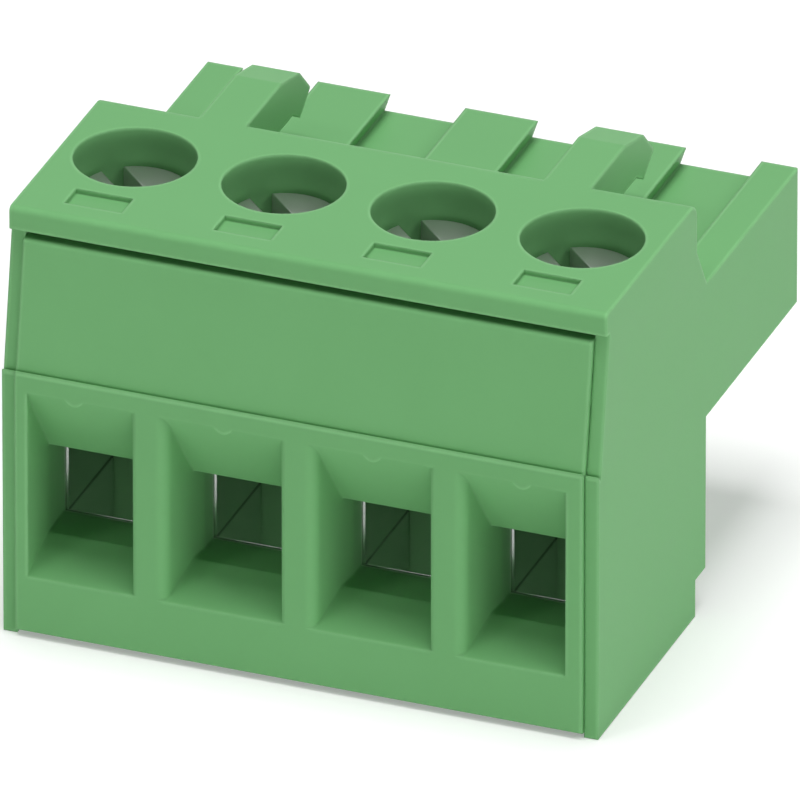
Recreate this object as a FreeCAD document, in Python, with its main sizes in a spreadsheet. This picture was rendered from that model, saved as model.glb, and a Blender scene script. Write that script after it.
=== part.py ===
"""Pluggable terminal block with rising cage clamps, four poles, in millimetres.

The pieces are drawn from the left, front, bottom corner of the block: X runs along the row of poles,
Y from the wire side to the plug side and Z upwards. Their placement then puts the origin at the centre
of the bottom face.
"""
import FreeCAD, Part
import os
import re

import Sketcher

SIZES = {
    # Row of poles
    "pitch": 5.08,
    "poles": 4,
    # Outline of the housing, depths counted from the front of the cover, heights from the bottom
    "total_depth": 18.2,
    "total_height": 15.0,
    "side_wall": 0.48,
    "wall_setback": 0.2,
    "ledge_height": 9.45,
    "ledge_step": 0.17,
    "seam_lip": 0.05,
    "seam_depth": 0.2,
    "strip_head_depth": 1.13,
    "lip_depth": 0.87,
    "lip_thickness": 0.8,
    "back_depth": 9.0,
    "waist_height": 13.2,
    "shoulder_depth": 9.91,
    "nose_top": 11.65,
    "nose_underside": 6.77,
    "foot_height": 1.28,
    "lip_round": 0.2,
    "back_round": 0.5,
    "side_round": 0.05,
    # Coding slots between the dovetail ribs of the nose
    "rib_width": 2.5,
    "slot_depth": 0.62,
    "slot_undercut": 0.2,
    # Latch hooks over the nose
    "hook_inset": 3.47,
    "hook_width": 1.62,
    "hook_root": 1.0,
    "hook_flat_depth": 11.75,
    "hook_brow_depth": 13.33,
    "hook_brow_height": 14.6,
    "hook_tip_depth": 14.27,
    "hook_tip_height": 13.64,
    "hook_tooth_depth": 13.35,
    "hook_tooth_height": 12.97,
    "hook_notch_depth": 12.7,
    "hook_underside": 13.36,
    "hook_round": 0.06,
    # Screw wells and marking recesses in the top
    "screw_depth": 5.4,
    "well_diameter": 4.0,
    "neck_hole_diameter": 3.2,
    "neck_length": 0.5,
    "marking_width": 1.95,
    "marking_length": 1.03,
    "marking_depth": 2.24,
    "marking_sink": 0.17,
    # Front cover
    "cover_bottom": 0.16,
    "cover_block_depth": 3.42,
    "block_rise": 0.12,
    "panel_proud": 0.22,
    "panel_gap": 0.27,
    "panel_thickness": 1.0,
    "cover_fit": 0.015,
    "cover_round": 0.15,
    "ridge_radius": 0.2,
    "ridge_depth": 2.4,
    "ridge_bottom": 3.0,
    "ridge_length": 4.0,
    # Wire funnels in the cover
    "mouth_inset": 0.58,
    "left_end_inset": 0.92,
    "right_end_inset": 1.05,
    "mouth_bottom": 2.2,
    "lintel_height": 0.57,
    "funnel_depth": 1.88,
    "flare_depth": 2.64,
    "throat_width": 3.32,
    "throat_bottom": 2.88,
    "throat_top": 6.08,
    "left_mouth_round": 0.4,
    "right_mouth_round": 0.2,
    "nub_radius": 0.32,
    "nub_rise": 0.1,
    "nub_depth": 0.3,
    # Clamping cages
    "cage_width": 4.12,
    "cage_wall": 0.5,
    "cage_depth": 3.86,
    "cage_floor": 0.82,
    "cage_window": 4.1,
    "cage_head": 1.48,
    "cage_proud": 0.03,
    "cage_travel": 3.0,
    "cage_outer_round": 0.7,
    "cage_slack": 0.04,
    "cage_end_slack": 0.1,
    # Clamping screws
    "thread_diameter": 2.8,
    "thread_slack": 0.05,
    "head_diameter": 3.8,
    "head_height": 1.59,
    "head_slack": 0.02,
    "head_chamfer": 0.06,
    "tip_chamfer": 0.3,
    "driver_slot_width": 0.8,
    "driver_slot_depth": 0.9,
    "driver_slot_angle": 45,
    # Contacts
    "bar_width": 2.8,
    "bar_thickness": 0.8,
    "bar_slack": 0.05,
    "bar_front_gap": 0.3,
    "riser_depth": 9.0,
    "contact_slack": 0.1,
    "pin_height": 9.0,
    "fork_half_height": 1.2,
    "fork_root_length": 1.2,
    "leaf_thickness": 0.4,
    "nip_depth": 15.9,
    "nip_half_gap": 0.35,
    "leaf_end_depth": 17.2,
    "leaf_end_half_gap": 0.7,
    "fork_room": 0.3,
    "plug_wall": 0.7,
    "pin_opening": 2.0,
}

doc = FreeCAD.newDocument("terminal_block")


def write_sheet():
    """Put every size in the spreadsheet, each under its own alias."""
    sheet = doc.addObject("Spreadsheet::Sheet", "Sizes")
    for row, (name, value) in enumerate(SIZES.items(), start=1):
        sheet.set(f"A{row}", name)
        sheet.set(f"B{row}", str(value))
        sheet.setAlias(f"B{row}", name)
    doc.recompute()


def bound(text):
    """Turn names of sizes in an expression into references to the sheet."""
    return re.sub(r"[a-z_]+", lambda word: f"Sizes.{word[0]}" if word[0] in SIZES else word[0], text)


def number(text):
    """Value of an expression written with names of sizes."""
    return float(doc.getObject("Sizes").evalExpression(bound(text)))


# Sizes that follow from the sheet, written as expressions
WIDTH = "pitch * poles"
COVER_WIDTH = "(pitch * poles - 2 * side_wall - 2 * cover_fit)"
LIP_UNDERSIDE = "(total_height - lip_thickness)"
BACK_EDGE_ROUND = "min(back_round; (total_height - waist_height) / 2)"
STRIP_FOOT = "(wall_setback + ledge_step)"
STRIP_SLOPE = f"((strip_head_depth - {STRIP_FOOT}) / ({LIP_UNDERSIDE} - ledge_height))"
SEAT_DEPTH = "(cover_block_depth + cover_fit)"
MOUTH_TOP = "(ledge_height - lintel_height)"
BLOCK_TOP = "(ledge_height + block_rise)"
PANEL_TOP = f"({LIP_UNDERSIDE} - panel_gap)"
PANEL_FOOT = f"({STRIP_FOOT} - panel_proud + {STRIP_SLOPE} * block_rise)"
PANEL_HEAD = f"({PANEL_FOOT} + {STRIP_SLOPE} * ({PANEL_TOP} - {BLOCK_TOP}))"
SEAT_HEAD = f"({PANEL_FOOT} + {STRIP_SLOPE} * ({LIP_UNDERSIDE} - {BLOCK_TOP}))"
CAGE_HEIGHT = "(cage_floor + cage_window + cage_head)"
CAGE_BOTTOM = "(throat_bottom + cage_proud - cage_floor)"
CAGE_FRONT = "(screw_depth - cage_depth / 2)"
CHAMBER_BACK = "(screw_depth + cage_depth / 2 + cage_end_slack)"
CHAMBER_FLOOR = f"({CAGE_BOTTOM} - cage_end_slack)"
CHAMBER_TOP = f"({CAGE_BOTTOM} + {CAGE_HEIGHT} + cage_travel + cage_end_slack)"
CHAMBER_WIDTH = "(cage_width + 2 * cage_slack)"
BAR_TOP = f"({CAGE_BOTTOM} + cage_floor + cage_window - bar_slack)"
BAR_UNDERSIDE = f"({BAR_TOP} - bar_thickness)"
SCREW_TIP = f"({BAR_TOP} + head_slack)"
WELL_FLOOR = f"({CHAMBER_TOP} + neck_length)"
# A place well outside the block, where cuts that are open at the front or the bottom begin
OUTSIDE = "-1"


def check(shape_name, before, after, grows):
    """Stop if a feature added or cut nothing."""
    if (after > before) != grows or abs(after - before) < 1e-6:
        raise RuntimeError(f"{shape_name} changed nothing: {before} to {after}")


def origin_plane(body, role):
    """One of the body's own origin planes."""
    return next(plane for plane in body.Origin.OriginFeatures if plane.Role == role)


def new_body(name):
    """An empty body whose label names its file."""
    body = doc.addObject("PartDesign::Body", name)
    body.Label = name
    return body


def new_sketch(body, name, role, offset="0"):
    """A sketch on an origin plane, moved along its normal."""
    sketch = body.newObject("Sketcher::SketchObject", name)
    sketch.AttachmentSupport = (origin_plane(body, role), [""])
    sketch.MapMode = "FlatFace"
    sketch.setExpression("AttachmentOffset.Base.z", bound(offset))
    return sketch


def pin_coordinate(sketch, kind, geometry, place, text):
    """Tie one coordinate of a point to an expression, seen from the sketch's origin."""
    value = number(text)
    if abs(value) < 1e-9:
        axis = -2 if kind == "DistanceX" else -1
        sketch.addConstraint(Sketcher.Constraint("PointOnObject", geometry, place, axis))
        return
    if value > 0:
        index = sketch.addConstraint(Sketcher.Constraint(kind, -1, 1, geometry, place, value))
    else:
        index = sketch.addConstraint(Sketcher.Constraint(kind, geometry, place, -1, 1, -value))
        text = f"-({text})"
    sketch.setExpression(f"Constraints[{index}]", bound(text))


def draw_outline(sketch, corners):
    """Draw a closed outline of straight edges, each corner a pair of expressions."""
    points = [FreeCAD.Vector(number(across), number(up), 0) for across, up in corners]
    first = sketch.GeometryCount
    count = len(points)
    for start, end in zip(points, points[1:] + points[:1]):
        sketch.addGeometry(Part.LineSegment(start, end))
    for index in range(count):
        following = first + (index + 1) % count
        sketch.addConstraint(Sketcher.Constraint("Coincident", first + index, 2, following, 1))
    for index, (across, up) in enumerate(corners):
        pin_coordinate(sketch, "DistanceX", first + index, 1, across)
        pin_coordinate(sketch, "DistanceY", first + index, 1, up)


def draw_circle(sketch, across, up, radius):
    """Draw a circle whose centre and radius are expressions."""
    centre = FreeCAD.Vector(number(across), number(up), 0)
    index = sketch.addGeometry(Part.Circle(centre, FreeCAD.Vector(0, 0, 1), number(radius)))
    pin_coordinate(sketch, "DistanceX", index, 3, across)
    pin_coordinate(sketch, "DistanceY", index, 3, up)
    size = sketch.addConstraint(Sketcher.Constraint("Radius", index, number(radius)))
    sketch.setExpression(f"Constraints[{size}]", bound(radius))


def rectangle(left, right, bottom, top):
    """Corners of an upright rectangle."""
    return [(left, bottom), (right, bottom), (right, top), (left, top)]


def extrude(body, kind, sketch, length, reverse=False, midplane=False):
    """Pad or pocket a sketch and make sure that it changed the body."""
    before = body.Shape.Volume if body.Tip else 0.0
    feature = body.newObject(f"PartDesign::{kind}", f"{sketch.Name}_{kind.lower()}")
    feature.Profile = sketch
    feature.Reversed = reverse
    feature.SideType = 2 if midplane else 0
    feature.setExpression("Length", bound(length))
    sketch.Visibility = False
    doc.recompute()
    check(feature.Name, before, body.Shape.Volume, kind == "Pad")
    return feature


def repeat_along_row(body, feature):
    """Repeat a feature of the first pole at every pole."""
    before = body.Shape.Volume
    pattern = body.newObject("PartDesign::LinearPattern", f"{feature.Name}_row")
    pattern.Originals = [feature]
    pattern.Direction = (origin_axis(body, "X_Axis"), [""])
    pattern.setExpression("Length", bound("pitch * (poles - 1)"))
    pattern.setExpression("Occurrences", bound("poles"))
    body.Tip = pattern
    doc.recompute()
    check(pattern.Name, before, body.Shape.Volume, body.Shape.Volume > before)
    return pattern


def origin_axis(body, role):
    """One of the body's own origin axes."""
    return next(axis for axis in body.Origin.OriginFeatures if axis.Role == role)


def fillet(body, name, radius, wanted):
    """Round the edges of the body that a test picks out."""
    base = body.Tip
    edges = [f"Edge{index}" for index, edge in enumerate(base.Shape.Edges, start=1) if wanted(edge)]
    feature = body.newObject("PartDesign::Fillet", name)
    feature.Base = (base, edges)
    feature.setExpression("Radius", bound(radius))
    doc.recompute()
    if not edges or not feature.isValid():
        raise RuntimeError(f"{name} rounds no edge")
    return feature


def runs_along(edge, axis):
    """Whether an edge is straight and lies along an axis."""
    if not isinstance(edge.Curve, Part.Line):
        return False
    return abs(abs(edge.Curve.Direction.dot(axis)) - 1) < 1e-6


def passes(edge, **place):
    """Whether the middle of an edge lies at the given coordinates."""
    middle = edge.CenterOfMass
    return all(abs(getattr(middle, axis) - number(text)) < 1e-3 for axis, text in place.items())


ALONG_ROW = FreeCAD.Vector(1, 0, 0)
UPWARDS = FreeCAD.Vector(0, 0, 1)
INWARDS = FreeCAD.Vector(0, 1, 0)


def housing_outline():
    """Side view of the housing, from its front foot round by the top and the nose."""
    return [
        ("wall_setback", "0"),
        ("wall_setback", "ledge_height"),
        ("wall_setback + seam_lip", "ledge_height"),
        (STRIP_FOOT, "ledge_height - seam_depth"),
        (STRIP_FOOT, "ledge_height"),
        ("strip_head_depth", LIP_UNDERSIDE),
        ("lip_depth", LIP_UNDERSIDE),
        ("lip_depth", "total_height"),
        ("back_depth", "total_height"),
        ("back_depth", "waist_height"),
        ("shoulder_depth", "nose_top"),
        ("total_depth", "nose_top"),
        ("total_depth", "nose_underside"),
        ("shoulder_depth", "nose_underside"),
        ("shoulder_depth", "foot_height"),
        ("back_depth", "foot_height"),
        ("back_depth", "0"),
    ]


def seat_outline():
    """Side view of the room for the cover, open at the front and the bottom."""
    panel_back = f"({PANEL_FOOT} + panel_thickness + cover_fit)"
    panel_head = f"({SEAT_HEAD} + panel_thickness + cover_fit)"
    return [
        (OUTSIDE, OUTSIDE),
        (SEAT_DEPTH, OUTSIDE),
        (SEAT_DEPTH, f"{BLOCK_TOP} + cover_fit"),
        (panel_back, f"{BLOCK_TOP} + cover_fit"),
        (panel_head, LIP_UNDERSIDE),
        (OUTSIDE, LIP_UNDERSIDE),
    ]


def hook_outline():
    """Side view of a latch hook, from its root along the underside to the tooth and over the top."""
    return [
        ("back_depth - hook_root", "hook_underside"),
        ("hook_notch_depth", "hook_underside"),
        ("hook_tooth_depth", "hook_tooth_height"),
        ("hook_tip_depth", "hook_tip_height"),
        ("hook_brow_depth", "hook_brow_height"),
        ("hook_flat_depth", "total_height"),
        ("back_depth - hook_root", "total_height"),
    ]


def contact_room_outline():
    """Side view of the room for the contact, from the cage chamber to the plug wall."""
    floor = f"{BAR_UNDERSIDE} - contact_slack"
    return [
        (f"{CHAMBER_BACK} - cage_end_slack", floor),
        ("riser_depth + contact_slack", floor),
        ("riser_depth + contact_slack", "pin_height - fork_half_height - fork_room"),
        ("total_depth - plug_wall", "pin_height - fork_half_height - fork_room"),
        ("total_depth - plug_wall", "pin_height + fork_half_height + fork_room"),
        (f"{CHAMBER_BACK} - cage_end_slack", "pin_height + fork_half_height + fork_room"),
    ]


def shape_outside(body):
    """Pad the side view across the row and round its edges."""
    sketch = new_sketch(body, "side_view", "YZ_Plane")
    draw_outline(sketch, housing_outline())
    extrude(body, "Pad", sketch, WIDTH)
    fillet(body, "lip_edge", "lip_round",
           lambda edge: runs_along(edge, ALONG_ROW) and passes(edge, y="lip_depth", z="total_height"))
    fillet(body, "back_edge", BACK_EDGE_ROUND,
           lambda edge: runs_along(edge, ALONG_ROW) and passes(edge, y="back_depth", z="total_height"))
    fillet(body, "side_edges", "side_round", is_side_edge)


def is_side_edge(edge):
    """Edges round the two side faces, from the top of the strips round by the nose to the foot."""
    middle = edge.CenterOfMass
    on_side = min(abs(middle.x), abs(middle.x - number(WIDTH))) < 1e-6
    return on_side and middle.z > 1e-3 and middle.y > number("strip_head_depth")


def cut_cover_seat(body):
    """Cut the room for the cover between the side walls, with a groove for each snap ridge."""
    sketch = new_sketch(body, "cover_seat", "YZ_Plane", "side_wall")
    draw_outline(sketch, seat_outline())
    extrude(body, "Pocket", sketch, f"{WIDTH} - 2 * side_wall", reverse=True)
    grooves = new_sketch(body, "snap_grooves", "XY_Plane", "ridge_bottom - cover_fit")
    draw_circle(grooves, "side_wall", "ridge_depth", "ridge_radius + cover_fit")
    draw_circle(grooves, f"{WIDTH} - side_wall", "ridge_depth", "ridge_radius + cover_fit")
    extrude(body, "Pocket", grooves, "ridge_length + 2 * cover_fit", reverse=True)


def cut_chambers(body):
    """Cut the cage chamber, the room for the contact and the pin opening of each pole."""
    half = f"{CHAMBER_WIDTH} / 2"
    chamber = new_sketch(body, "cage_chamber", "XY_Plane", CHAMBER_FLOOR)
    draw_outline(chamber, rectangle(f"pitch / 2 - {half}", f"pitch / 2 + {half}",
                                    "cover_block_depth", CHAMBER_BACK))
    cut = extrude(body, "Pocket", chamber, f"{CHAMBER_TOP} - {CHAMBER_FLOOR}", reverse=True)
    repeat_along_row(body, cut)
    room = new_sketch(body, "contact_room", "YZ_Plane", "pitch / 2 - bar_width / 2 - contact_slack")
    draw_outline(room, contact_room_outline())
    cut = extrude(body, "Pocket", room, "bar_width + 2 * contact_slack", reverse=True)
    repeat_along_row(body, cut)
    opening = new_sketch(body, "pin_opening", "XZ_Plane", "-total_depth")
    side = "pin_opening / 2"
    draw_outline(opening, rectangle(f"pitch / 2 - {side}", f"pitch / 2 + {side}",
                                    f"pin_height - {side}", f"pin_height + {side}"))
    cut = extrude(body, "Pocket", opening, "plug_wall", reverse=True)
    repeat_along_row(body, cut)


def cut_top(body):
    """Sink the screw wells, their neck holes and the marking recesses."""
    well = new_sketch(body, "screw_well", "XY_Plane", "total_height")
    draw_circle(well, "pitch / 2", "screw_depth", "well_diameter / 2")
    repeat_along_row(body, extrude(body, "Pocket", well, f"total_height - {WELL_FLOOR}"))
    neck = new_sketch(body, "neck_hole", "XY_Plane", WELL_FLOOR)
    draw_circle(neck, "pitch / 2", "screw_depth", "neck_hole_diameter / 2")
    repeat_along_row(body, extrude(body, "Pocket", neck, "neck_length"))
    marking = new_sketch(body, "marking_recess", "XY_Plane", "total_height")
    half_width = "marking_width / 2"
    half_length = "marking_length / 2"
    draw_outline(marking, rectangle(f"pitch / 2 - {half_width}", f"pitch / 2 + {half_width}",
                                    f"marking_depth - {half_length}", f"marking_depth + {half_length}"))
    repeat_along_row(body, extrude(body, "Pocket", marking, "marking_sink"))


def cut_coding_slots(body):
    """Cut a dovetail slot over each pole into the top of the nose."""
    sketch = new_sketch(body, "coding_slot", "XZ_Plane", "-total_depth")
    half = "(pitch - rib_width) / 2"
    draw_outline(sketch, [
        (f"pitch / 2 - {half} - slot_undercut", "nose_top - slot_depth"),
        (f"pitch / 2 + {half} + slot_undercut", "nose_top - slot_depth"),
        (f"pitch / 2 + {half}", "nose_top"),
        (f"pitch / 2 - {half}", "nose_top"),
    ])
    foot = "slot_depth * (shoulder_depth - back_depth) / (waist_height - nose_top)"
    cut = extrude(body, "Pocket", sketch, f"total_depth - shoulder_depth - {foot}", reverse=True)
    repeat_along_row(body, cut)


def add_hooks(body):
    """Pad a latch hook near each end of the row."""
    for name, start in (("left_hook", "hook_inset"), ("right_hook", f"{WIDTH} - hook_inset - hook_width")):
        sketch = new_sketch(body, name, "YZ_Plane", start)
        draw_outline(sketch, hook_outline())
        extrude(body, "Pad", sketch, "hook_width")
    fillet(body, "hook_corners", "hook_round", is_hook_corner)


def is_hook_corner(edge):
    """The tooth's and the tip's edge of a hook."""
    corners = [
        ("hook_tooth_depth", "hook_tooth_height"),
        ("hook_tip_depth", "hook_tip_height"),
    ]
    return runs_along(edge, ALONG_ROW) and any(passes(edge, y=depth, z=height) for depth, height in corners)


def make_housing():
    """The moulded housing with its nose, ribs, wells and hooks."""
    body = new_body("housing")
    shape_outside(body)
    cut_cover_seat(body)
    cut_chambers(body)
    cut_top(body)
    cut_coding_slots(body)
    add_hooks(body)
    return body


def cover_outline():
    """Side view of the cover: the funnel block with the slanting panel on it."""
    return [
        ("0", "cover_bottom"),
        ("0", BLOCK_TOP),
        ("seam_lip", BLOCK_TOP),
        (PANEL_FOOT, f"{BLOCK_TOP} - seam_depth"),
        (PANEL_FOOT, BLOCK_TOP),
        (PANEL_HEAD, PANEL_TOP),
        (f"{PANEL_HEAD} + panel_thickness", PANEL_TOP),
        (f"{PANEL_FOOT} + panel_thickness", BLOCK_TOP),
        ("cover_block_depth", BLOCK_TOP),
        ("cover_block_depth", "cover_bottom"),
    ]


def is_cover_edge(edge):
    """Bottom front edge of the block and the panel's top edge, across the row."""
    corners = [("0", "cover_bottom"), (PANEL_HEAD, PANEL_TOP)]
    return runs_along(edge, ALONG_ROW) and any(passes(edge, y=depth, z=height) for depth, height in corners)


def funnel_side(end_inset, at_end):
    """Plan view of a funnel's side from mouth to back, each point an inset into the pole and a depth."""
    throat = "(pitch - throat_width) / 2"
    inner = [(throat, "flare_depth"), (throat, "cover_block_depth")]
    if at_end:
        return [(end_inset, "0"), (end_inset, "funnel_depth")] + inner
    return [("mouth_inset", "0")] + inner


def cut_funnel(body, pole):
    """Cut one wire funnel at its full height, with sides that draw in towards the throat."""
    left = funnel_side("left_end_inset", pole == 0)
    right = funnel_side("right_end_inset", pole == SIZES["poles"] - 1)
    plan = new_sketch(body, f"funnel_{pole + 1}", "XY_Plane", "mouth_bottom")
    corners = [(f"pitch * {pole} + {inset}", depth) for inset, depth in left]
    corners += [(f"pitch * {pole + 1} - {inset}", depth) for inset, depth in reversed(right)]
    draw_outline(plan, corners)
    extrude(body, "Pocket", plan, f"{MOUTH_TOP} - mouth_bottom", reverse=True)


def fill_slopes(body):
    """Fill the funnels' floors and ceilings back in, so that they slope to the throat."""
    sketch = new_sketch(body, "funnel_slopes", "YZ_Plane", "side_wall + cover_fit")
    draw_outline(sketch, [
        ("0", "mouth_bottom"),
        ("funnel_depth", "throat_bottom"),
        ("cover_block_depth", "throat_bottom"),
        ("cover_block_depth", "mouth_bottom"),
    ])
    draw_outline(sketch, [
        ("0", MOUTH_TOP),
        ("funnel_depth", "throat_top"),
        ("cover_block_depth", "throat_top"),
        ("cover_block_depth", MOUTH_TOP),
    ])
    extrude(body, "Pad", sketch, COVER_WIDTH)


def round_bars(body):
    """Round the bars' upright edges, more on the left of each funnel than on its right."""
    for side, sign in (("left", "+"), ("right", "-")):
        row = [f"pitch * {pole} {sign} mouth_inset" for pole in range(1, SIZES["poles"])]
        fillet(body, f"{side}_mouth_edges", f"{side}_mouth_round",
               lambda edge: runs_along(edge, UPWARDS) and any(passes(edge, x=place, y="0") for place in row))


def add_nubs(body):
    """Leave a small round nub under the middle of each funnel's top edge."""
    sketch = new_sketch(body, "nub", "XZ_Plane", "0")
    draw_circle(sketch, "pitch / 2", f"{MOUTH_TOP} + nub_rise", "nub_radius")
    repeat_along_row(body, extrude(body, "Pad", sketch, "nub_depth", reverse=True))


def add_snap_ridges(body):
    """Add the upright ridge that holds the cover in each side wall."""
    sketch = new_sketch(body, "snap_ridges", "XY_Plane", "ridge_bottom")
    draw_circle(sketch, "side_wall + cover_fit", "ridge_depth", "ridge_radius")
    draw_circle(sketch, f"{WIDTH} - side_wall - cover_fit", "ridge_depth", "ridge_radius")
    extrude(body, "Pad", sketch, "ridge_length")


def make_front_cover():
    """The moulded cover with the wire funnels."""
    body = new_body("front_cover")
    sketch = new_sketch(body, "side_view_of_cover", "YZ_Plane", "side_wall + cover_fit")
    draw_outline(sketch, cover_outline())
    extrude(body, "Pad", sketch, COVER_WIDTH)
    fillet(body, "cover_edges", "cover_round", is_cover_edge)
    for pole in range(SIZES["poles"]):
        cut_funnel(body, pole)
    round_bars(body)
    fill_slopes(body)
    add_nubs(body)
    add_snap_ridges(body)
    return body


def make_cage(name):
    """A rising cage: a metal ring with a tapped head, drawn about the screw's axis."""
    body = new_body(name)
    ring = new_sketch(body, f"{name}_ring", "XZ_Plane")
    half = "cage_width / 2"
    inner = f"({half} - cage_wall)"
    top = f"{CAGE_BOTTOM} + {CAGE_HEIGHT}"
    draw_outline(ring, rectangle(f"-{half}", half, CAGE_BOTTOM, top))
    draw_outline(ring, rectangle(f"-{inner}", inner, f"{CAGE_BOTTOM} + cage_floor", f"{top} - cage_head"))
    extrude(body, "Pad", ring, "cage_depth", midplane=True)
    fillet(body, f"{name}_outer_corners", "cage_outer_round",
           lambda edge: runs_along(edge, INWARDS) and passes(edge, z=CAGE_BOTTOM))
    hole = new_sketch(body, f"{name}_hole", "XY_Plane", top)
    draw_circle(hole, "0", "0", "thread_diameter / 2 + thread_slack")
    extrude(body, "Pocket", hole, "cage_head")
    return body


def make_screw(name):
    """A slotted clamping screw, turned about its own axis."""
    body = new_body(name)
    head_bottom = f"{WELL_FLOOR} + head_slack"
    head_top = f"{head_bottom} + head_height"
    profile = new_sketch(body, f"{name}_profile", "XZ_Plane")
    draw_outline(profile, [
        ("0", SCREW_TIP),
        ("thread_diameter / 2 - tip_chamfer", SCREW_TIP),
        ("thread_diameter / 2", f"{SCREW_TIP} + tip_chamfer"),
        ("thread_diameter / 2", head_bottom),
        ("head_diameter / 2", head_bottom),
        ("head_diameter / 2", f"{head_top} - head_chamfer"),
        ("head_diameter / 2 - head_chamfer", head_top),
        ("0", head_top),
    ])
    turned = body.newObject("PartDesign::Revolution", f"{name}_turned")
    turned.Profile = profile
    turned.ReferenceAxis = (origin_axis(body, "Z_Axis"), [""])
    turned.Angle = 360
    doc.recompute()
    slot = new_sketch(body, f"{name}_slot", "XY_Plane", head_top)
    slot.setExpression("AttachmentOffset.Rotation.Angle", bound("-driver_slot_angle"))
    half = "driver_slot_width / 2"
    draw_outline(slot, rectangle("-head_diameter", "head_diameter", f"-{half}", half))
    extrude(body, "Pocket", slot, "driver_slot_depth")
    return body


def contact_outline():
    """Side view of a contact: current bar, riser and the two leaves of the fork."""
    front = f"{CAGE_FRONT} + bar_front_gap"
    riser_front = "riser_depth - bar_thickness"
    root_end = "riser_depth + fork_root_length - bar_thickness"
    low = "pin_height - fork_half_height"
    high = "pin_height + fork_half_height"
    return [
        (front, BAR_UNDERSIDE),
        ("riser_depth", BAR_UNDERSIDE),
        ("riser_depth", low),
        (root_end, low),
        ("nip_depth", "pin_height - nip_half_gap - leaf_thickness"),
        ("leaf_end_depth", "pin_height - leaf_end_half_gap - leaf_thickness"),
        ("leaf_end_depth", "pin_height - leaf_end_half_gap"),
        ("nip_depth", "pin_height - nip_half_gap"),
        (root_end, f"{low} + leaf_thickness"),
        (root_end, f"{high} - leaf_thickness"),
        ("nip_depth", "pin_height + nip_half_gap"),
        ("leaf_end_depth", "pin_height + leaf_end_half_gap"),
        ("leaf_end_depth", "pin_height + leaf_end_half_gap + leaf_thickness"),
        ("nip_depth", "pin_height + nip_half_gap + leaf_thickness"),
        (root_end, high),
        (riser_front, high),
        (riser_front, BAR_TOP),
        (front, BAR_TOP),
    ]


def make_contact(name):
    """A stamped contact, drawn about the middle of its pole."""
    body = new_body(name)
    sketch = new_sketch(body, f"{name}_side_view", "YZ_Plane")
    draw_outline(sketch, contact_outline())
    extrude(body, "Pad", sketch, "bar_width", midplane=True)
    return body


def place(body, across, inwards):
    """Move a body from the corner it was drawn from to the block's own origin."""
    body.setExpression("Placement.Base.x", bound(f"{across} - {WIDTH} / 2"))
    body.setExpression("Placement.Base.y", bound(f"{inwards} - total_depth / 2"))


def build():
    """Make every piece and put it in its place."""
    write_sheet()
    pieces = [make_housing(), make_front_cover()]
    for body in pieces:
        place(body, "0", "0")
    for pole in range(SIZES["poles"]):
        across = f"pitch * ({pole} + 0.5)"
        screw = make_screw(f"clamping_screw_{pole + 1}")
        place(screw, across, "screw_depth")
        cage = make_cage(f"clamping_cage_{pole + 1}")
        place(cage, across, "screw_depth")
        contact = make_contact(f"spring_contact_{pole + 1}")
        place(contact, across, "0")
        pieces += [screw, cage, contact]
    doc.recompute()
    return pieces


def verify(pieces):
    """Stop before anything is written if a feature failed or a shape is broken."""
    for item in doc.Objects:
        if {"Invalid", "Error"} & set(item.State):
            raise RuntimeError(f"{item.Name} failed: {item.State}")
    for piece in pieces:
        shape = piece.Shape
        if shape.isNull() or not shape.isValid() or len(shape.Solids) != 1:
            raise RuntimeError(f"{piece.Label} isn't one valid solid")


def export(pieces):
    """Write one STEP file for each piece, named by its label."""
    os.makedirs("parts", exist_ok=True)
    for piece in pieces:
        piece.Shape.exportStep(f"parts/{piece.Label}.step")
        print(f"{piece.Label}: {piece.Shape.Volume:.1f} mm3")


pieces = build()
verify(pieces)
export(pieces)
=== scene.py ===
import math

import bmesh
import bpy
from mathutils import Matrix, Vector


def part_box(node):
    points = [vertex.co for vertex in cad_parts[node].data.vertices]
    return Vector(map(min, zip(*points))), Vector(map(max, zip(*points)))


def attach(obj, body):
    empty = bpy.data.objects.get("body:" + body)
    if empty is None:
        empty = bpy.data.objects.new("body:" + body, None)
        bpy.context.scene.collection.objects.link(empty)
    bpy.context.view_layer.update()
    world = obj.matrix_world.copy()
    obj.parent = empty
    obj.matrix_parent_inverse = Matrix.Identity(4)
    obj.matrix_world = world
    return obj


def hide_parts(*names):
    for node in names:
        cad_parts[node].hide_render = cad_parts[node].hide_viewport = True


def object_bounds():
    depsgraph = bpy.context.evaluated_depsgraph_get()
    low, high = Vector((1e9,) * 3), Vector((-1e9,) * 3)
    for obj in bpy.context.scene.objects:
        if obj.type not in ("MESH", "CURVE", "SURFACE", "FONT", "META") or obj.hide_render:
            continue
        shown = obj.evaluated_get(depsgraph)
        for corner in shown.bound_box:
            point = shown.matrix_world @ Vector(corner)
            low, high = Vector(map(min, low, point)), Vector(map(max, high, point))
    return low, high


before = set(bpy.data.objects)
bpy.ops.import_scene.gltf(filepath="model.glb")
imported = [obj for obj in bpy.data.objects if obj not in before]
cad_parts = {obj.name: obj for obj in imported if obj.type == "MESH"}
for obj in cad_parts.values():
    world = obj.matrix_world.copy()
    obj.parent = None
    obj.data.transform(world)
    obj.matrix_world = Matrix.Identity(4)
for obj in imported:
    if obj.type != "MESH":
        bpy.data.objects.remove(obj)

MM = 0.001
CAD_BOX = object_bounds()

# The photograph's view, in degrees, metres and pixels of an 800 by 800 image
VIEW_AZIMUTH = 21.03
VIEW_ELEVATION = 28.41
VIEW_DISTANCE = 1.15
IMAGE_SIDE = 800
PIXELS_PER_METRE = 31281.0
BLOCK_CENTRE_PIXEL = (400.2, 353.7)

# Light of the surround: it is strongest low in front and on the right, and weak overhead
HORIZON_LIGHT = 1.4
FRONT_RIGHT_LIGHT = 4.4
FRONT_RIGHT = (0.70, -0.71, 0.0)
SKY_LIGHT = 0.1
HORIZON_BAND = 0.22

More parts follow.
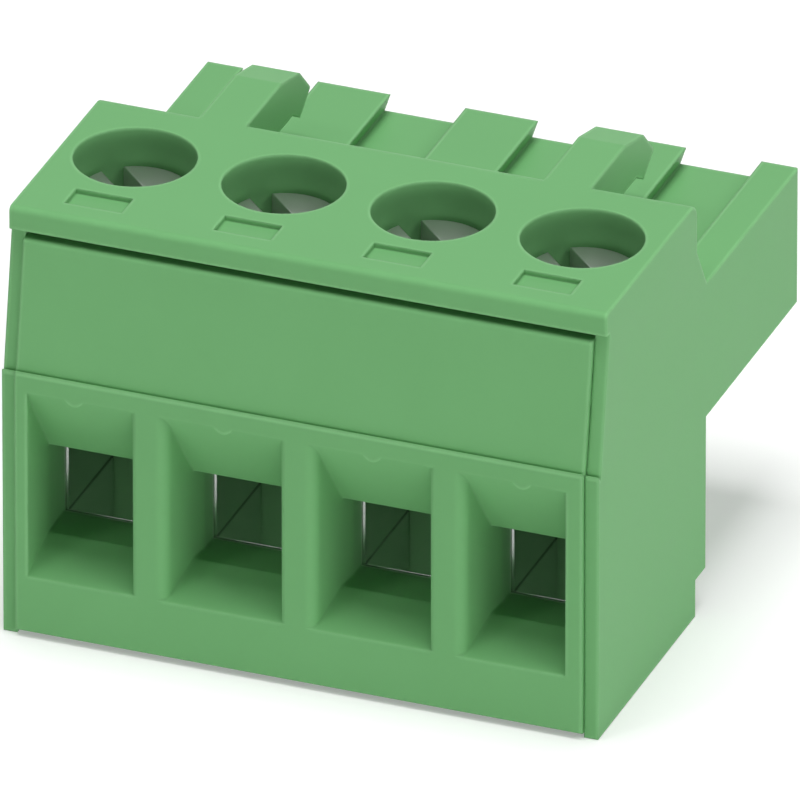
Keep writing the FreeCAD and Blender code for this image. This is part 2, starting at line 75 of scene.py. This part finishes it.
# Softboxes that face the block: azimuth and elevation in degrees, side in metres,
# power in watts, and whether glossy surfaces mirror the lamp
SOFTBOX_DISTANCE = 0.4
SOFTBOXES = {
    "top_softbox": (0, 89, 0.18, 1.12, False),
    "edge_softbox": (-34, 55, 0.05, 0.1, True),
    "right_softbox": (75, 45, 0.15, 0.32, True),
}

# Floor, whose glow is seen by camera, mirror and glass rays only
FLOOR_REACH = 3.0
FLOOR_LEVEL = -0.02 * MM
FLOOR_WHITE = 0.82
FLOOR_GLOW = 0.3

# Row of poles and the screws' M3 thread, in metres
POLE_PITCH = 5.08 * MM
THREAD_PITCH = 0.5 * MM
SHANK_RADIUS = 1.4 * MM
CORE_RADIUS = 1.16 * MM
CREST_RADIUS = 1.42 * MM
RIDGE_BASE = 0.46 * MM
RIDGE_CREST = 0.08 * MM
HEAD_REACH = 1.8 * MM
MERGE_DISTANCE = 0.0005 * MM
SLACK = 0.01 * MM

# Share of a hemisphere that is hidden where an edge or corner begins to show, and where it is full
EDGE_BEGINS = 0.02
EDGE_FULL = 0.36
# Share of the metal's dark colour kept in its inner corners, as painted shade
CORNER_SHADE = 0.55

# Cage edges: radius at the floor and up the walls, and the heights above the cage's foot between them
CAGE_FLOOR_EDGE = 0.02 * MM
CAGE_WALL_EDGE = 0.17 * MM
CAGE_EDGE_HEIGHTS = (1.0 * MM, 1.6 * MM)

POLES = range(1, 5)
GREEN_NODES = ["housing", "front_cover"]
CAGE_NODES = [f"clamping_cage_{pole}" for pole in POLES]
CONTACT_NODES = [f"spring_contact_{pole}" for pole in POLES]


def add_node(tree, kind, **inputs):
    """Add a node to a tree and set its unlinked inputs by name."""
    node = tree.nodes.new(kind)
    for name, value in inputs.items():
        node.inputs[name.replace("_", " ")].default_value = value
    return node


def feed(tree, socket, value):
    """Give an input a number or another node's output."""
    if isinstance(value, bpy.types.NodeSocket):
        tree.links.new(value, socket)
    else:
        socket.default_value = value


def compute(tree, operation, *values):
    """Output of a math node on numbers and sockets."""
    node = tree.nodes.new("ShaderNodeMath")
    node.operation = operation
    for socket, value in zip(node.inputs, values):
        feed(tree, socket, value)
    return node.outputs[0]


def remap(tree, value, low, high, start=0.0, end=1.0):
    """Spread a value between two limits, smoothly at both ends."""
    node = add_node(tree, "ShaderNodeMapRange")
    node.interpolation_type = "SMOOTHSTEP"
    for name, limit in (("From Min", start), ("From Max", end), ("To Min", low), ("To Max", high)):
        feed(tree, node.inputs[name], limit)
    feed(tree, node.inputs["Value"], value)
    return node.outputs["Result"]


def new_group(name, inputs, outputs):
    """A shader node group with float inputs and the outputs asked for."""
    group = bpy.data.node_groups.new(name, "ShaderNodeTree")
    for socket, default in inputs.items():
        made = group.interface.new_socket(name=socket, in_out="INPUT", socket_type="NodeSocketFloat")
        made.default_value = default
    for socket, kind in outputs.items():
        group.interface.new_socket(name=socket, in_out="OUTPUT", socket_type=kind)
    return group, group.nodes.new("NodeGroupInput"), group.nodes.new("NodeGroupOutput")


def object_place(tree):
    """Place on the piece itself."""
    return tree.nodes.new("ShaderNodeTexCoord").outputs["Object"]


def scaled_noise(tree, coordinates, scale, detail):
    """A noise texture whose scale is a number or a socket."""
    noise = add_node(tree, "ShaderNodeTexNoise", Detail=detail, Roughness=0.55)
    tree.links.new(coordinates, noise.inputs["Vector"])
    feed(tree, noise.inputs["Scale"], scale)
    return noise.outputs["Fac"]


def make_grain_group():
    """Fine moulded grain as a height, with a slow mottle as a mask."""
    group, entry, result = new_group(
        "moulded_grain",
        {"Grain Scale": 9000.0, "Mottle Scale": 350.0},
        {"Height": "NodeSocketFloat", "Mottle": "NodeSocketFloat"},
    )
    place = object_place(group)
    grain = scaled_noise(group, place, entry.outputs["Grain Scale"], 3.0)
    mottle = scaled_noise(group, place, entry.outputs["Mottle Scale"], 2.0)
    group.links.new(grain, result.inputs["Height"])
    group.links.new(mottle, result.inputs["Mottle"])
    return group


def make_turning_group():
    """Fine rings about the axis of the nearest pole, as a lathe leaves them."""
    group, entry, result = new_group(
        "turning_marks",
        {"Pole Pitch": POLE_PITCH, "Axis Depth": 0.0, "Ring Scale": 5000.0},
        {"Height": "NodeSocketFloat"},
    )
    split = group.nodes.new("ShaderNodeSeparateXYZ")
    group.links.new(object_place(group), split.inputs["Vector"])
    pitch = entry.outputs["Pole Pitch"]
    turn = compute(group, "FRACT", compute(group, "DIVIDE", split.outputs["X"], pitch))
    across = compute(group, "MULTIPLY", compute(group, "SUBTRACT", turn, 0.5), pitch)
    inwards = compute(group, "SUBTRACT", split.outputs["Y"], entry.outputs["Axis Depth"])
    squares = [compute(group, "POWER", side, 2.0) for side in (across, inwards)]
    radius = compute(group, "SQRT", compute(group, "ADD", *squares))
    noise = add_node(group, "ShaderNodeTexNoise", Detail=2.0)
    noise.noise_dimensions = "1D"
    group.links.new(radius, noise.inputs["W"])
    group.links.new(entry.outputs["Ring Scale"], noise.inputs["Scale"])
    group.links.new(noise.outputs["Fac"], result.inputs["Height"])
    return group


def make_edge_group():
    """Masks of the sharp outer edges, for a painted highlight, and of the sharp inner corners, for
    painted shade.
    """
    group, entry, result = new_group(
        "edge_highlight_and_corner_shade",
        {"Edge Width": 0.1 * MM, "Corner Width": 0.1 * MM},
        {"Edge": "NodeSocketFloat", "Corner": "NodeSocketFloat"},
    )
    for name, inside in (("Edge", True), ("Corner", False)):
        near = group.nodes.new("ShaderNodeAmbientOcclusion")
        near.samples = 6
        near.inside = inside
        near.only_local = True
        group.links.new(entry.outputs[f"{name} Width"], near.inputs["Distance"])
        hidden = compute(group, "SUBTRACT", 1.0, near.outputs["AO"])
        group.links.new(remap(group, hidden, 0.0, 1.0, EDGE_BEGINS, EDGE_FULL), result.inputs[name])
    return group


def principled(material):
    """The material's own surface shader."""
    return material.node_tree.nodes["Principled BSDF"]


def new_material(name):
    """A material with nodes and its surface shader."""
    material = bpy.data.materials.new(name)
    material.use_nodes = True
    return material


def use_group(material, group, **inputs):
    """Place a node group in a material with its own values."""
    node = material.node_tree.nodes.new("ShaderNodeGroup")
    node.node_tree = group
    for name, value in inputs.items():
        node.inputs[name.replace("_", " ")].default_value = value
    return node.outputs


def blend_colour(tree, mask, first, second):
    """Blend two colours, each three numbers or another node's output, by a mask."""
    mix = tree.nodes.new("ShaderNodeMix")
    mix.data_type = "RGBA"
    sockets = [socket for socket in mix.inputs if socket.type == "RGBA"]
    for socket, colour in zip(sockets, (first, second)):
        feed(tree, socket, colour if isinstance(colour, bpy.types.NodeSocket) else (*colour, 1.0))
    tree.links.new(mask, mix.inputs["Factor"])
    return next(socket for socket in mix.outputs if socket.type == "RGBA")


def feed_colour(material, colour):
    """Give the surface its colour."""
    material.node_tree.links.new(colour, principled(material).inputs["Base Color"])


def feed_roughness(material, mask, low, high):
    """Vary the gloss a little over the surface."""
    rough = remap(material.node_tree, mask, low, high)
    material.node_tree.links.new(rough, principled(material).inputs["Roughness"])


def feed_bump(material, height, strength, distance, edge_radius):
    """Bump a surface whose sharp edges are softened to a small radius."""
    tree = material.node_tree
    bevel = add_node(tree, "ShaderNodeBevel")
    bevel.samples = 8
    feed(tree, bevel.inputs["Radius"], edge_radius)
    bump = add_node(tree, "ShaderNodeBump", Strength=strength, Distance=distance)
    tree.links.new(height, bump.inputs["Height"])
    tree.links.new(bevel.outputs["Normal"], bump.inputs["Normal"])
    tree.links.new(bump.outputs["Normal"], principled(material).inputs["Normal"])


def make_green_plastic(grain_group, painted_light_group):
    """Satin green polyamide with a fine moulded grain, and a painted highlight along its sharp outer
    edges.
    """
    material = new_material("green_polyamide")
    tree = material.node_tree
    principled(material).inputs["Specular IOR Level"].default_value = 0.1
    grain = use_group(material, grain_group, Grain_Scale=9000.0, Mottle_Scale=350.0)
    edges = use_group(material, painted_light_group, Edge_Width=0.13 * MM, Corner_Width=0.1 * MM)
    body = blend_colour(tree, grain["Mottle"], (0.160, 0.415, 0.162), (0.174, 0.438, 0.176))
    # Painted highlight: the sharp outer edges take a paler green than the body.
    feed_colour(material, blend_colour(tree, edges["Edge"], body, (0.225, 0.520, 0.225)))
    feed_bump(material, grain["Height"], 0.25, 0.006 * MM, 0.15 * MM)
    feed_roughness(material, grain["Mottle"], 0.40, 0.48)
    return material


def round_up_the_walls(material):
    """Edge radius of a cage: nearly sharp at its floor and rounder up its walls."""
    tree = material.node_tree
    split = tree.nodes.new("ShaderNodeSeparateXYZ")
    tree.links.new(object_place(tree), split.inputs["Vector"])
    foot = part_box(CAGE_NODES[0])[0][2]
    start, end = (foot + height for height in CAGE_EDGE_HEIGHTS)
    return remap(tree, split.outputs["Z"], CAGE_FLOOR_EDGE, CAGE_WALL_EDGE, start, end)


def make_metal(name, groups, dark, light, roughness, edge_radius=None):
    """A plated metal with a faint mottle in colour and gloss, and painted shade that darkens its inner
    corners.
    """
    grain_group, painted_light_group = groups
    material = new_material(name)
    tree = material.node_tree
    principled(material).inputs["Metallic"].default_value = 1.0
    grain = use_group(material, grain_group, Grain_Scale=6000.0, Mottle_Scale=900.0)
    corners = use_group(material, painted_light_group, Edge_Width=0.08 * MM, Corner_Width=0.08 * MM)
    body = blend_colour(tree, grain["Mottle"], dark, light)
    shade = [part * CORNER_SHADE for part in dark]
    # Painted shade: the inner corners take a darker copy of the metal's dark colour.
    feed_colour(material, blend_colour(tree, corners["Corner"], body, shade))
    radius = edge_radius or round_up_the_walls(material)
    feed_bump(material, grain["Height"], 0.2, 0.003 * MM, radius)
    feed_roughness(material, grain["Mottle"], roughness - 0.05, roughness + 0.05)
    return material


def make_screw_steel(groups):
    """Zinc plated steel with the lathe's rings."""
    name, dark, light = "zinc_plated_steel", (0.56, 0.57, 0.56), (0.64, 0.65, 0.64)
    material = make_metal(name, groups, dark, light, 0.34, 0.08 * MM)
    principled(material).inputs["Metallic"].default_value = 0.9
    low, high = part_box("clamping_screw_1")
    axis_depth = (low[1] + high[1]) / 2
    rings = use_group(material, make_turning_group(), Axis_Depth=axis_depth, Ring_Scale=9000.0)
    bump = next(node for node in material.node_tree.nodes if node.bl_idname == "ShaderNodeBump")
    material.node_tree.links.new(rings["Height"], bump.inputs["Height"])
    return material


def dress(nodes, material):
    """Give CAD nodes a finished material."""
    for name in nodes:
        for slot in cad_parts[name].material_slots:
            slot.material = material


def make_thread_tree():
    """Geometry nodes that wind a thread's ridge round a core."""
    tree = bpy.data.node_groups.new("thread_ridge", "GeometryNodeTree")
    sizes = ("Pitch", "Turns", "Core Radius", "Crest Radius", "Base Width", "Crest Width",
             "Centre X", "Centre Y", "Start Height")
    for name in sizes:
        tree.interface.new_socket(name=name, in_out="INPUT", socket_type="NodeSocketFloat")
    tree.interface.new_socket(name="Metal", in_out="INPUT", socket_type="NodeSocketMaterial")
    tree.interface.new_socket(name="Geometry", in_out="OUTPUT", socket_type="NodeSocketGeometry")
    entry = tree.nodes.new("NodeGroupInput").outputs
    result = tree.nodes.new("NodeGroupOutput")
    link = tree.links.new

    spiral = add_node(tree, "GeometryNodeCurveSpiral", Resolution=36, Reverse=True)
    for socket, value in (("Rotations", entry["Turns"]), ("Start Radius", entry["Core Radius"]),
                          ("End Radius", entry["Core Radius"]),
                          ("Height", compute(tree, "MULTIPLY", entry["Pitch"], entry["Turns"]))):
        feed(tree, spiral.inputs[socket], value)
    upright = tree.nodes.new("GeometryNodeSetCurveNormal")
    upright.mode = "Z_UP"
    link(spiral.outputs["Curve"], upright.inputs["Curve"])

    along = tree.nodes.new("GeometryNodeSplineParameter").outputs["Factor"]
    to_end = compute(tree, "MINIMUM", along, compute(tree, "SUBTRACT", 1.0, along))
    taper = compute(tree, "MULTIPLY", to_end, compute(tree, "MULTIPLY", entry["Turns"], 2.0))
    size = tree.nodes.new("GeometryNodeSetCurveRadius")
    link(upright.outputs["Curve"], size.inputs["Curve"])
    link(compute(tree, "MAXIMUM", compute(tree, "MINIMUM", taper, 1.0), 0.1), size.inputs["Radius"])

    ridge = tree.nodes.new("GeometryNodeCurvePrimitiveQuadrilateral")
    ridge.mode = "TRAPEZOID"
    height = compute(tree, "SUBTRACT", entry["Crest Radius"], entry["Core Radius"])
    for socket, value in (("Bottom Width", entry["Base Width"]), ("Top Width", entry["Crest Width"]),
                          ("Height", height), ("Offset", 0.0)):
        feed(tree, ridge.inputs[socket], value)
    turned = add_node(tree, "GeometryNodeTransform", Rotation=(0.0, 0.0, -math.pi / 2))
    shift = tree.nodes.new("ShaderNodeCombineXYZ")
    link(compute(tree, "DIVIDE", height, 2.0), shift.inputs["X"])
    link(ridge.outputs["Curve"], turned.inputs["Geometry"])
    link(shift.outputs["Vector"], turned.inputs["Translation"])

    wound = add_node(tree, "GeometryNodeCurveToMesh", Fill_Caps=True)
    link(size.outputs["Curve"], wound.inputs["Curve"])
    link(turned.outputs["Geometry"], wound.inputs["Profile Curve"])
    place = tree.nodes.new("ShaderNodeCombineXYZ")
    for axis, name in (("X", "Centre X"), ("Y", "Centre Y"), ("Z", "Start Height")):
        link(entry[name], place.inputs[axis])
    moved = tree.nodes.new("GeometryNodeTransform")
    link(wound.outputs["Mesh"], moved.inputs["Geometry"])
    link(place.outputs["Vector"], moved.inputs["Translation"])
    real = tree.nodes.new("GeometryNodeRealizeInstances")
    link(moved.outputs["Geometry"], real.inputs["Geometry"])
    dressed = tree.nodes.new("GeometryNodeSetMaterial")
    link(real.outputs["Geometry"], dressed.inputs["Geometry"])
    link(entry["Metal"], dressed.inputs["Material"])
    link(dressed.outputs["Geometry"], result.inputs["Geometry"])
    return tree


def grow(name, tree, values):
    """Run a geometry node tree with named values and give its plain mesh."""
    holder = bpy.data.objects.new(name, bpy.data.meshes.new(name))
    bpy.context.scene.collection.objects.link(holder)
    modifier = holder.modifiers.new("grown", "NODES")
    modifier.node_group = tree
    for item in tree.interface.items_tree:
        if item.in_out == "INPUT":
            modifier[item.identifier] = values[item.name]
    shaped = holder.evaluated_get(bpy.context.evaluated_depsgraph_get())
    mesh = bpy.data.meshes.new_from_object(shaped)
    bpy.data.objects.remove(holder)
    return mesh


def slim_shank(shell, axis, head_floor):
    """Draw the shank in to the thread's core, below the head."""
    for vertex in shell.verts:
        offset = vertex.co.xy - axis
        if vertex.co.z < head_floor + SLACK and offset.length < SHANK_RADIUS + SLACK:
            vertex.co.xy = axis + offset * (CORE_RADIUS / SHANK_RADIUS)


def make_screw(pole, tree, metal):
    """A slotted screw with a real thread, in the place of the plain one."""
    node = f"clamping_screw_{pole}"
    low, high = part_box(node)
    axis = Vector(((low[0] + high[0]) / 2, (low[1] + high[1]) / 2))
    shell = bmesh.new()
    shell.from_mesh(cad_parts[node].data)
    bmesh.ops.remove_doubles(shell, verts=shell.verts, dist=MERGE_DISTANCE)
    head_floor = min(vertex.co.z for vertex in shell.verts if (vertex.co.xy - axis).length > HEAD_REACH)
    slim_shank(shell, axis, head_floor)
    start = low[2] + THREAD_PITCH / 2
    turns = (head_floor - THREAD_PITCH / 2 - start) / THREAD_PITCH
    ridge = grow(f"thread_{pole}", tree, {
        "Pitch": THREAD_PITCH, "Turns": turns, "Core Radius": CORE_RADIUS - 0.03 * MM,
        "Crest Radius": CREST_RADIUS, "Base Width": RIDGE_BASE, "Crest Width": RIDGE_CREST,
        "Centre X": axis.x, "Centre Y": axis.y, "Start Height": start, "Metal": metal,
    })
    shell.from_mesh(ridge)
    bmesh.ops.recalc_face_normals(shell, faces=shell.faces)
    mesh = bpy.data.meshes.new(f"threaded_screw_{pole}")
    shell.to_mesh(mesh)
    shell.free()
    mesh.materials.clear()
    mesh.materials.append(metal)
    for face in mesh.polygons:
        face.material_index = 0
    piece = bpy.data.objects.new(f"threaded_screw_{pole}", mesh)
    bpy.context.scene.collection.objects.link(piece)
    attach(piece, f"screw_{pole}")
    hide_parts(node)


def view_axes():
    """The camera's looking, right and up directions at the photograph's angle."""
    azimuth = math.radians(VIEW_AZIMUTH)
    elevation = math.radians(VIEW_ELEVATION)
    level = math.cos(elevation)
    look = Vector((-math.sin(azimuth) * level, math.cos(azimuth) * level, -math.sin(elevation)))
    right = Vector((math.cos(azimuth), math.sin(azimuth), 0.0))
    return look, right, right.cross(look)


def make_camera():
    """Camera that frames the block as the photograph does."""
    look, right, up = view_axes()
    low, high = (Vector(corner) for corner in CAD_BOX)
    across = (BLOCK_CENTRE_PIXEL[0] - IMAGE_SIDE / 2) / PIXELS_PER_METRE
    below = (BLOCK_CENTRE_PIXEL[1] - IMAGE_SIDE / 2) / PIXELS_PER_METRE
    aim = (low + high) / 2 - right * across + up * below
    data = bpy.data.cameras.new("photo_camera")
    data.angle = 2 * math.atan(IMAGE_SIDE / 2 / (PIXELS_PER_METRE * VIEW_DISTANCE))
    data.clip_start = 0.05
    data.clip_end = 20.0
    camera = bpy.data.objects.new("photo_camera", data)
    turn = Matrix((right, up, -look)).transposed().to_4x4()
    camera.matrix_world = Matrix.Translation(aim - look * VIEW_DISTANCE) @ turn
    bpy.context.scene.collection.objects.link(camera)
    bpy.context.scene.camera = camera


def make_softbox(name, azimuth, elevation, side, power, mirrored):
    """A square area lamp that faces the block."""
    data = bpy.data.lights.new(name, "AREA")
    data.energy = power
    data.size = side
    lamp = bpy.data.objects.new(name, data)
    around = math.radians(azimuth)
    above = math.radians(elevation)
    level = math.cos(above)
    towards = Vector((math.sin(around) * level, -math.cos(around) * level, math.sin(above)))
    lamp.location = towards * SOFTBOX_DISTANCE
    lamp.visible_glossy = mirrored
    lamp.rotation_euler = towards.to_track_quat("Z", "Y").to_euler()
    bpy.context.scene.collection.objects.link(lamp)


def shown_directly(tree):
    """1 where a camera, mirror or glass ray looks, and 0 where light falls on the block."""
    rays = tree.nodes.new("ShaderNodeLightPath").outputs
    mirrored = compute(tree, "MAXIMUM", rays["Is Glossy Ray"], rays["Is Transmission Ray"])
    return compute(tree, "MAXIMUM", rays["Is Camera Ray"], mirrored)


def make_world():
    """A white surround, whose light on the block comes mostly from low in front."""
    world = bpy.data.worlds.new("studio")
    world.use_nodes = True
    tree = world.node_tree
    background = tree.nodes["Background"]
    background.inputs["Color"].default_value = (1.0, 1.0, 1.0, 1.0)
    direction = tree.nodes.new("ShaderNodeTexCoord").outputs["Generated"]
    split = tree.nodes.new("ShaderNodeSeparateXYZ")
    tree.links.new(direction, split.inputs["Vector"])
    band = remap(tree, split.outputs["Z"], 1.0, 0.0, end=HORIZON_BAND)
    facing = tree.nodes.new("ShaderNodeVectorMath")
    facing.operation = "DOT_PRODUCT"
    facing.inputs[1].default_value = FRONT_RIGHT
    tree.links.new(direction, facing.inputs[0])
    towards = compute(tree, "MAXIMUM", facing.outputs["Value"], 0.0)
    side = compute(tree, "MULTIPLY_ADD", towards, FRONT_RIGHT_LIGHT, HORIZON_LIGHT)
    strength = add_node(tree, "ShaderNodeMix")
    strength.inputs["B"].default_value = 1.0
    tree.links.new(shown_directly(tree), strength.inputs["Factor"])
    tree.links.new(compute(tree, "MULTIPLY_ADD", band, side, SKY_LIGHT), strength.inputs["A"])
    tree.links.new(strength.outputs["Result"], background.inputs["Strength"])
    bpy.context.scene.world = world


def make_floor():
    """A plain white floor that keeps the block's soft shadow and is clear from below."""
    mesh = bpy.data.meshes.new("floor")
    signs = [(-1, -1), (1, -1), (1, 1), (-1, 1)]
    corners = [(x * FLOOR_REACH, y * FLOOR_REACH, FLOOR_LEVEL) for x, y in signs]
    mesh.from_pydata(corners, [], [range(len(corners))])
    floor = bpy.data.objects.new("floor", mesh)
    bpy.context.scene.collection.objects.link(floor)
    material = new_material("white_floor")
    tree = material.node_tree
    shader = principled(material)
    shader.inputs["Base Color"].default_value = (FLOOR_WHITE, FLOOR_WHITE, FLOOR_WHITE, 1.0)
    shader.inputs["Roughness"].default_value = 0.9
    shader.inputs["Specular IOR Level"].default_value = 0.0
    shader.inputs["Emission Color"].default_value = (1.0, 1.0, 1.0, 1.0)
    glow = compute(tree, "MULTIPLY", shown_directly(tree), FLOOR_GLOW)
    tree.links.new(glow, shader.inputs["Emission Strength"])
    seen = tree.nodes.new("ShaderNodeMixShader")
    clear = tree.nodes.new("ShaderNodeBsdfTransparent")
    tree.links.new(tree.nodes.new("ShaderNodeNewGeometry").outputs["Backfacing"], seen.inputs[0])
    tree.links.new(shader.outputs[0], seen.inputs[1])
    tree.links.new(clear.outputs[0], seen.inputs[2])
    tree.links.new(seen.outputs[0], tree.nodes["Material Output"].inputs["Surface"])
    mesh.materials.append(material)


def make_studio():
    """Camera, softboxes, surround and floor."""
    bpy.context.scene.view_settings.view_transform = "Standard"
    make_camera()
    for name, values in SOFTBOXES.items():
        make_softbox(name, *values)
    make_world()
    make_floor()


def make_pieces():
    """Dress the CAD nodes and make the threaded screws."""
    groups = make_grain_group(), make_edge_group()
    dress(GREEN_NODES, make_green_plastic(*groups))
    nickel = make_metal("cage_nickel", groups, (0.74, 0.73, 0.75), (0.80, 0.79, 0.81), 0.14)
    dress(CAGE_NODES, nickel)
    tin = make_metal("contact_tin", groups, (0.62, 0.62, 0.60), (0.68, 0.68, 0.66), 0.35, 0.03 * MM)
    dress(CONTACT_NODES, tin)
    steel = make_screw_steel(groups)
    thread = make_thread_tree()
    for pole in POLES:
        make_screw(pole, thread, steel)


make_pieces()
make_studio()
